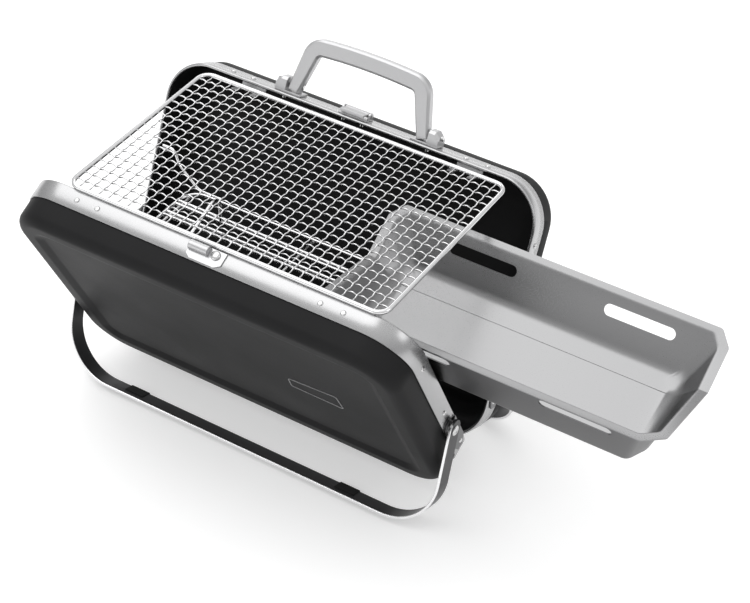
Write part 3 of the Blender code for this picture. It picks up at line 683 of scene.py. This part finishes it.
def front_catch():
    """The fixed half of the fastening: a plate, a half-round cover and a screw."""
    base = SHELL_TOP + 0.1
    bm = bmesh.new()
    outline = [(-21.0, 3.0), (20.0, 3.0), (20.0, 17.0), (14.0, 21.0), (-15.0, 21.0), (-21.0, 17.0)]
    prism(bm, outline, base, base + 1.4, "z")
    piece("catch_base", bm, FRONT, "front_case", PLATE, ["catch_plate"], bevel=0.4)

    bm = bmesh.new()
    foot = base + 1.4
    curve = [(8.3 + a, foot + 1.6 + b) for a, b in arc(5.0, 0, 180, 20)]
    prism(bm, [(13.3, foot)] + curve + [(3.3, foot)], -3.0, 19.0, "x")
    piece("catch_barrel", bm, FRONT, "front_case", CAST, ["catch_cover"], bevel=0.5)

    bm = bmesh.new()
    turned(
        bm, (-11.0, 9.0, foot), (0, 0, 1),
        [(5.0, 0.0), (5.0, 1.0), (4.7, 1.7), (3.8, 2.4), (2.2, 2.8), (1.9, 2.0), (0.3, 1.9)], 32,
    )
    piece("catch_stud", bm, FRONT, "front_case", RIVET, ["catch_screw"])


def rear_latch():
    """The moving half: a plate with two ears, a pin, and a hooked lever that lifts."""
    base = SHELL_TOP + 0.1
    axis = Vector((0.0, 15.0, SHELL_TOP + GAP + 5.4))
    bm = bmesh.new()
    foot = [(-20.0, 5.0), (14.5, 5.0), (14.5, 20.0), (-20.0, 20.0)]
    prism(bm, foot, base, base + 1.2, "z")
    ear = [
        (11.0, base + 1.0), (19.0, base + 1.0), (19.0, base + 6.2), (17.0, base + 8.2),
        (13.0, base + 8.2), (11.0, base + 6.2),
    ]
    prism(bm, ear, -20.0, -17.5, "x")
    prism(bm, ear, 12.0, 14.5, "x")
    piece("latch_base", bm, REAR, "rear_case", PLATE, ["latch_plate"], bevel=0.35)

    bm = bmesh.new()
    pin = [(0.9, 0.0), (1.2, 0.3), (1.2, 36.2), (0.9, 36.5)]
    turned(bm, (-21.0, axis.y, axis.z), (1, 0, 0), pin, 20)
    piece("latch_axle", bm, REAR, "rear_case", RIVET, ["latch_pin"])

    top = axis.z + 1.0
    below = axis.z - 0.8
    low = axis.z - 2.4
    outline = [(axis.y + a, axis.z + b) for a, b in arc(2.8, -60, 150, 16)]
    outline += [(11.0, top), (2.2, top), (2.2, low), (4.0, low), (4.0, below)]
    outline += [(11.6, below), (12.6, low)]
    bm = bmesh.new()
    prism(bm, outline, -17.0, 11.5, "x")
    piece("latch_hook", bm, REAR, "latch", CAST, ["latch_lever"], bevel=0.35)


def handle():
    """The carrying handle with its flat facets, and the nubs it turns between."""
    axis_z = SHELL_TOP + HANDLE_AXIS_RISE
    top = SHELL_TOP + HANDLE_RISE
    lean = math.atan2(HANDLE_FOOT_X - HANDLE_TOP_X, top - axis_z)
    low = SHELL_TOP + 3.5
    foot_x = HANDLE_FOOT_X + (axis_z - low) * math.tan(lean)
    straight = HANDLE_TOP_X - HANDLE_BEND
    left = [(-foot_x, HANDLE_AXIS_DEPTH, low)]
    for a, b in arc(HANDLE_BEND, math.degrees(lean), 90, 16):
        left.append((-straight - a, HANDLE_AXIS_DEPTH, top - HANDLE_BEND + b))
    path = list(left)
    for step in range(-7, 8):
        rise = HANDLE_ARCH * (1.0 - (step / 8) ** 2)
        path.append((straight * step / 8, HANDLE_AXIS_DEPTH, top + rise))
    path += [(-x, y, z) for x, y, z in reversed(left)]
    neck = HANDLE_NECK / HANDLE_GRIP
    widen = [neck] + [1.0] * (len(path) - 2) + [neck]
    bm = bmesh.new()
    section = chamfered_section(HANDLE_GRIP, HANDLE_DEPTH, 2.4)
    sweep(bm, path, section, (0, 1, 0), widen=widen)
    piece("handle_grip", bm, REAR, "handle", CAST, ["handle_bow"], bevel=0.7)

    base = SHELL_TOP + 0.1
    near = HANDLE_FOOT_X + HANDLE_NECK / 2 + 1.6
    far = near + NUB_LENGTH
    foot = base + 2.0
    nub = [
        (4.0, foot - 0.5), (20.0, foot - 0.5), (20.0, axis_z + 3.0), (17.0, axis_z + 6.2),
        (7.0, axis_z + 6.2), (4.0, axis_z + 3.0),
    ]
    for side, side_name in ((-1, "left"), (1, "right")):
        bm = bmesh.new()
        sole = [
            (side * (near - 19.0), 4.0), (side * far, 4.0),
            (side * far, 20.0), (side * (near - 19.0), 20.0),
        ]
        prism(bm, sole, base, foot, "z")
        rings = []
        for x, shrink in ((near, 0.0), (near + 7.5, 0.0), (far, 5.5)):
            rings.append([(side * x, y, z - shrink * (z > foot)) for y, z in nub])
        skin(bm, rings)
        node = f"handle_bracket_{side_name}"
        piece(f"{node}_nub", bm, REAR, "rear_case", CAST, [node], bevel=0.5)
        bm = bmesh.new()
        end = NUB_LENGTH + 18.2
        pin = [(2.0, 0.0), (2.0, end), (3.0, end), (2.9, end + 0.4), (2.2, end + 0.8), (0.4, end + 0.9)]
        turned(bm, (side * 69.0, HANDLE_AXIS_DEPTH, axis_z), (side, 0, 0), pin, 28)
        node = f"handle_pin_{side_name}"
        piece(f"{node}_axle", bm, REAR, "rear_case", RIVET, [node])


def rivet_tails():
    """The ends of the handle's and latch's rivets, inside the rear band."""
    bm = bmesh.new()
    tail = [(2.3, 0.0), (2.3, 3.6), (1.9, 4.4), (1.0, 4.8), (0.2, 4.9)]
    for x in (-88.0, -14.0, 9.0, 88.0):
        turned(bm, (x, 8.5, SHELL_TOP - BAND_THICKNESS - GAP - PAN_THICKNESS), (0, 0, -1), tail)
    piece("rear_rivet_tails", bm, REAR, "rear_case", RIVET)


# Trough.

def plane_height(seam, rear_slope, front_slope, y):
    """Height of a surface that is bent along the seam line."""
    return seam + (rear_slope if y > SEAM_Y else front_slope) * (y - SEAM_Y)


def trough_ring(seam, rear, front, left, right, chamfers, soft, ridge):
    """A ring of the tray with softened corners, and a small ridge where it crosses the seam."""
    rear_y = rear[0]
    front_y = front[0]
    rear_cut, front_cut = chamfers
    corners = [
        (right, rear_y - rear_cut), (right - rear_cut, rear_y), (left + rear_cut, rear_y),
        (left, rear_y - rear_cut), (left, SEAM_Y), (left, front_y + front_cut),
        (left + front_cut, front_y), (right - front_cut, front_y), (right, front_y + front_cut),
        (right, SEAM_Y),
    ]
    points = [Vector((x, y, plane_height(seam, rear[1], front[1], y))) for x, y in corners]
    ring = []
    for i, corner in enumerate(points):
        if i in (4, 9):
            sides = (1, -1) if i == 4 else (-1, 1)
            for side in sides:
                y = SEAM_Y + SEAM_HALF * side
                z = plane_height(seam, rear[1], front[1], y) + (ridge if side < 0 else 0.0)
                ring.append(Vector((corner.x, y, z)))
            continue
        after = points[(i + 1) % len(points)]
        ring += rounded_corner(points[i - 1], corner, after, soft, RING_STEPS)
    return ring


RIM_INSIDE_REAR = (RIM_REAR[0] - RIM_WIDTH_REAR, RIM_REAR[1])
RIM_INSIDE_FRONT = (RIM_FRONT[0] + RIM_WIDTH, RIM_FRONT[1])
FLOOR_LEFT = TROUGH_LEFT + FLOOR_INSET
FLOOR_RIGHT = TROUGH_RIGHT - FLOOR_INSET


def tray_rings():
    """The tray's rings: flat middle of the floor, floor's edge, rim's inside, rim's outside."""
    flat_rear = (FLOOR_REAR[0] - FLAT_REAR, FLOOR_REAR[1])
    flat_front = (FLOOR_FRONT[0] + FLAT_FRONT, FLOOR_FRONT[1])
    return [
        trough_ring(
            FLOOR_SEAM, flat_rear, flat_front, FLOOR_LEFT + FLAT_END, FLOOR_RIGHT - FLAT_END,
            (1.0, 1.0), 0.3, 1.3,
        ),
        trough_ring(
            FLOOR_SEAM, FLOOR_REAR, FLOOR_FRONT, FLOOR_LEFT, FLOOR_RIGHT, FLOOR_CHAMFERS, 4.5, 0.9
        ),
        trough_ring(
            RIM_SEAM, RIM_INSIDE_REAR, RIM_INSIDE_FRONT,
            TROUGH_LEFT + RIM_WIDTH, TROUGH_RIGHT - RIM_WIDTH,
            [cut - 4.0 for cut in RIM_CHAMFERS], 3.5, 0.0,
        ),
        trough_ring(
            RIM_SEAM, RIM_REAR, RIM_FRONT, TROUGH_LEFT, TROUGH_RIGHT, RIM_CHAMFERS, 2.0, 0.0
        ),
    ]


def floor_bend(point):
    """How far the bend between floor and wall reaches at a point of the floor's edge."""
    corner = FLOOR_CHAMFERS[0] - 1.0
    if not FLOOR_LEFT + corner < point.x < FLOOR_RIGHT - corner:
        return BEND_END
    return BEND_FRONT if point.y < SEAM_Y else BEND_REAR


def slot_cutter():
    """Four rounded bars that cut the slots into the rear and front walls."""
    bar = SLOT_LENGTH / 2 - SLOT_WIDTH / 2
    outline = [(a + bar, b) for a, b in arc(SLOT_WIDTH / 2, -90, 90, 14)]
    outline += [(a - bar, b) for a, b in arc(SLOT_WIDTH / 2, 90, 270, 14)]
    bm = bmesh.new()
    for brink, floor in ((RIM_INSIDE_REAR, FLOOR_REAR), (RIM_INSIDE_FRONT, FLOOR_FRONT)):
        high_z = plane_height(RIM_SEAM, RIM_REAR[1], RIM_FRONT[1], brink[0])
        low_z = plane_height(FLOOR_SEAM, FLOOR_REAR[1], FLOOR_FRONT[1], floor[0])
        high = Vector((0.0, brink[0], high_z))
        down = Vector((0.0, floor[0], low_z)) - high
        middle = high + down * SLOT_DROP
        down.normalize()
        through = Vector((1.0, 0.0, 0.0)).cross(down)
        for x in SLOT_CENTRES:
            rings = []
            for reach in (-SLOT_CUT, SLOT_CUT):
                level = middle + through * reach
                rings.append([level + Vector((x + a, 0, 0)) + down * b for a, b in outline])
            skin(bm, rings)
    for vert in bm.verts:
        vert.co *= MM
    bmesh.ops.recalc_face_normals(bm, faces=bm.faces)
    mesh = bpy.data.meshes.new("slots")
    bm.to_mesh(mesh)
    bm.free()
    cutter = bpy.data.objects.new("slots", mesh)
    bpy.context.scene.collection.objects.link(cutter)
    cutter.matrix_world = INNER
    return cutter


def tray():
    """The stainless tray: bent rim, soft wall bends, creased floor, four long slots."""
    columns = []
    for flat, floor, brink, edge in zip(*tray_rings()):
        column = [flat]
        column += rounded_corner(flat, floor, brink, floor_bend(floor), 8)
        column += rounded_corner(floor, brink, edge, RIM_BEND, 5)
        column.append(edge)
        columns.append(column)
    bm = bmesh.new()
    inner = skin(bm, list(zip(*columns)), caps=False)[0]

    # The floor's middle: behind the seam, in front of it, and the narrow ridge between.
    per_corner = RING_STEPS + 1
    seam_left = 4 * per_corner
    seam_right = 8 * per_corner + 2
    bm.faces.new([inner[seam_right + 1]] + inner[:seam_left + 1])
    bm.faces.new(inner[seam_left + 1:seam_right + 1])
    bm.faces.new(
        (inner[seam_left], inner[seam_left + 1], inner[seam_right], inner[seam_right + 1])
    )
    # The sheet's own faces, the tray's outside, take the darker copy with painted shade; the faces that
    # solidify adds, the inside and the rims, take the plain steel.
    made = piece(
        "charcoal_tray", bm, INNER, "trough", TRAY_OUTSIDE_SHADE, ["trough"], sharp=60
    )
    made.data.materials.append(TRAY)
    thick = made.modifiers.new("sheet", "SOLIDIFY")
    thick.thickness = TROUGH_SHEET * MM
    thick.offset = 1.0
    thick.material_offset = 1
    thick.material_offset_rim = 1

    cutter = slot_cutter()
    cut = made.modifiers.new("slots", "BOOLEAN")
    cut.operation = "DIFFERENCE"
    cut.solver = "EXACT"
    cut.object = cutter
    bpy.context.view_layer.update()
    shaped = bpy.data.meshes.new_from_object(
        made.evaluated_get(bpy.context.evaluated_depsgraph_get())
    )
    made.modifiers.clear()
    made.data = shaped
    shaped.shade_smooth()
    shaped.set_sharp_from_angle(angle=math.radians(38))
    bpy.data.objects.remove(cutter)


# Rack and grate.

def rack_wire(node, path, reach, up=(0, 0, 1)):
    """One wire of the rack along a path with rounded bends, in place of its CAD node."""
    bm = bmesh.new()
    sweep(bm, rounded_path(path, reach), round_section(RACK_WIRE, 14), up)
    piece(f"{node}_wire", bm, INNER, "rack", WIRE, [node], sharp=60)


def rack():
    """The wire rack under the tray: a rounded loop, long and cross wires, hangers and bows."""
    z = RACK_HEIGHT
    bm = bmesh.new()
    section = round_section(RACK_WIRE, 14)
    half_length = RACK_HALF_X - RACK_WIRE
    loop = rounded_rectangle(half_length, RACK_HALF_Y, RACK_CORNER, 8)
    sweep(bm, [(x, y, z) for x, y in loop], section, (0, 0, 1), True)
    for y in LONG_WIRES:
        sweep(bm, [(-half_length, y, z), (half_length, y, z)], section, (0, 0, 1))
    for x in CROSS_WIRES:
        sweep(bm, [(x, -RACK_HALF_Y, z - 1.5), (x, RACK_HALF_Y, z - 1.5)], section, (0, 0, 1))
    piece("rack_wires", bm, INNER, "rack", WIRE, ["rack_grid"], sharp=60)

    beside = RACK_HALF_Y + 2 * RACK_WIRE - 0.2
    rest = LUG_HEIGHT + GAP + RACK_WIRE
    lug_y = LUG_DEPTH * math.cos(LEAN) + rest * math.sin(LEAN)
    lug_z = rest * math.cos(LEAN) - LUG_DEPTH * math.sin(LEAN) - PLANE_HEIGHT
    for side, side_name in ((-1, "front"), (1, "rear")):
        for end, end_name in ((-1, "left"), (1, "right")):
            low = ((beside, z), (beside, z), (HANGER_ELBOW_Y, z))
            high = ((lug_y, lug_z), (lug_y, lug_z))
            path = [(end * x, side * y, height) for x, (y, height) in zip(HANGER_X, low + high)]
            rack_wire(f"rack_hanger_{side_name}_{end_name}", path, 7.0)

    below = FLOOR_SEAM - TROUGH_SHEET - 2.7
    foot = z + RACK_WIRE
    for side_name, x in BOW_X:
        path = [
            (x, -RACK_HALF_Y, foot),
            (x, -RACK_HALF_Y, -95.4),
            (x, BOW_FRONT, below + FLOOR_FRONT[1] * (BOW_FRONT - SEAM_Y)),
            (x, BOW_REAR, below + FLOOR_FRONT[1] * (BOW_REAR - SEAM_Y)),
            (x, 15.5, -71.5),
            (x, BOW_FOOT, -79.0),
            (x, BOW_FOOT, foot),
        ]
        rack_wire(f"rack_bow_{side_name}", path, 3.5, up=(1, 0, 0))


def crimped(bm, start, along, cells, pitch, height, section):
    """One crimped wire: it lies height off the middle at each crossing, level at the frame."""
    per_cell = 6
    path = []
    for step in range(cells * per_cell + 1):
        t = step / per_cell
        fade = min(1.0, t / CRIMP_FADE, (cells - t) / CRIMP_FADE)
        rise = height * fade * math.cos(2 * math.pi * t)
        path.append(start + along * (t * pitch) + Vector((0.0, 0.0, rise)))
    sweep(bm, path, section, (0, 0, 1))


def grate():
    """The cooking grate: a round-wire frame and a woven mesh of crimped wires."""
    centre = GRATE_CENTRE
    loop = rounded_rectangle(GRATE_HALF_X, GRATE_HALF_Y, GRATE_CORNER, 10)
    bm = bmesh.new()
    ring = [centre + Vector((x, y, 0.0)) for x, y in loop]
    sweep(bm, ring, round_section(GRATE_FRAME_RADIUS, 18), (0, 0, 1), True)
    piece("grate_rim", bm, INNER, "grate", WIRE, ["grate_frame"], sharp=60)

    section = round_section(MESH_WIRE, 8)
    bm = bmesh.new()
    step_x = 2 * GRATE_HALF_X / MESH_COLUMNS
    step_y = 2 * GRATE_HALF_Y / MESH_ROWS
    for column in range(1, MESH_COLUMNS):
        start = centre + Vector((column * step_x - GRATE_HALF_X, -GRATE_HALF_Y, 0.0))
        crimped(bm, start, Vector((0, 1, 0)), MESH_ROWS, step_y, COLUMN_CRIMP, section)
    for row in range(1, MESH_ROWS):
        start = centre + Vector((-GRATE_HALF_X, row * step_y - GRATE_HALF_Y, 0.0))
        crimped(bm, start, Vector((1, 0, 0)), MESH_COLUMNS, step_x, ROW_CRIMP, section)
    piece("grate_weave", bm, INNER, "grate", WIRE, ["grate_mesh"], sharp=80)


# CAD nodes that keep their shape.

def dress_nodes():
    """Give the hinge, the rack's lugs and the grate's tabs their finish."""
    dress = {
        "front_hinge_leaf": PLATE, "rear_hinge_leaf": PLATE, "hinge_pin": RIVET,
        "grate_tab_left": PLATE, "grate_tab_right": PLATE,
    }
    for shell in ("front", "rear"):
        for side in ("left", "right"):
            dress[f"{shell}_rack_lug_{side}"] = PLATE
    for node, finish in dress.items():
        thing = frame["nodes"][node]
        for held in thing.material_slots:
            held.material = finish


# Studio.

def area_light(name, place, target, size, power):
    """A softbox that faces its target."""
    light = bpy.data.lights.new(name, "AREA")
    light.shape = "RECTANGLE"
    light.size, light.size_y = size
    light.energy = power
    made = bpy.data.objects.new(name, light)
    bpy.context.scene.collection.objects.link(made)
    made.location = place
    made.rotation_euler = (Vector(target) - Vector(place)).to_track_quat("-Z", "Y").to_euler()


def studio():
    """A pale floor, a soft sky that is brightest overhead, and four softboxes."""
    bm = bmesh.new()
    bmesh.ops.create_grid(bm, x_segments=1, y_segments=1, size=6.0)
    mesh = bpy.data.meshes.new("floor")
    bm.to_mesh(mesh)
    bm.free()
    floor = bpy.data.objects.new("floor", mesh)
    bpy.context.scene.collection.objects.link(floor)
    pale = surface("floor", (0.8, 0.8, 0.8), 0.0, 0.9, grain=2.0, relief=0.0, patches=0.005)
    shader = pale.node_tree.nodes["Principled BSDF"]
    shader.inputs["Emission Color"].default_value = (1.0, 1.0, 1.0, 1.0)
    shader.inputs["Emission Strength"].default_value = 0.35
    floor.data.materials.append(pale)

    world = bpy.data.worlds.new("studio")
    world.use_nodes = True
    nodes = world.node_tree.nodes
    links = world.node_tree.links
    where = nodes.new("ShaderNodeTexCoord")
    split = nodes.new("ShaderNodeSeparateXYZ")
    links.new(where.outputs["Generated"], split.inputs["Vector"])
    ramp = nodes.new("ShaderNodeValToRGB")
    ramp.color_ramp.elements[0].position = 0.0
    ramp.color_ramp.elements[0].color = (0.52, 0.52, 0.525, 1.0)
    ramp.color_ramp.elements[1].position = 0.85
    ramp.color_ramp.elements[1].color = (1.0, 1.0, 1.0, 1.0)
    links.new(split.outputs["Z"], ramp.inputs["Fac"])
    links.new(ramp.outputs["Color"], nodes["Background"].inputs["Color"])
    nodes["Background"].inputs["Strength"].default_value = 1.0
    bpy.context.scene.world = world

    area_light("key", (-0.9, -0.1, 2.3), (0.0, 0.0, 0.2), (2.4, 2.2), 24.0)
    area_light("side", (2.4, 0.3, 1.6), (0.1, 0.0, 0.2), (1.0, 1.0), 5.0)
    area_light("front", (-1.0, -2.4, 0.5), (0.0, 0.0, 0.3), (2.0, 0.6), 5.0)
    area_light("back", (-1.2, 2.4, 1.3), (0.0, 0.0, 0.2), (2.2, 1.2), 11.0)


def camera():
    """The camera stands front right, well above the grill."""
    towards = Vector((
        math.sin(CAMERA_AZIMUTH) * math.cos(CAMERA_ELEVATION),
        -math.cos(CAMERA_AZIMUTH) * math.cos(CAMERA_ELEVATION),
        math.sin(CAMERA_ELEVATION),
    ))
    lens = bpy.data.cameras.new("camera")
    lens.lens = CAMERA_LENS
    lens.sensor_width = CAMERA_SENSOR
    made = bpy.data.objects.new("camera", lens)
    bpy.context.scene.collection.objects.link(made)
    made.location = INNER.translation + CAMERA_PLACE
    made.rotation_euler = (-towards).to_track_quat("-Z", "Y").to_euler()
    bpy.context.scene.camera = made


def main():
    """Build each shell's pieces, then the pieces there is one of, then the studio."""
    for name, place, mirrored in (("front", FRONT, True), ("rear", REAR, False)):
        body = f"{name}_case"
        pan(name, place, body)
        band(name, place, body)
        rivets(name, place, body)
        leg_mounts(name, place, body, mirrored)
        leg(f"{name}_leg", place, f"{name}_leg", mirrored)
    badge()
    front_catch()
    rear_latch()
    handle()
    rivet_tails()
    tray()
    rack()
    grate()
    dress_nodes()
    studio()
    camera()
    bpy.context.scene.view_settings.view_transform = "Standard"


main()
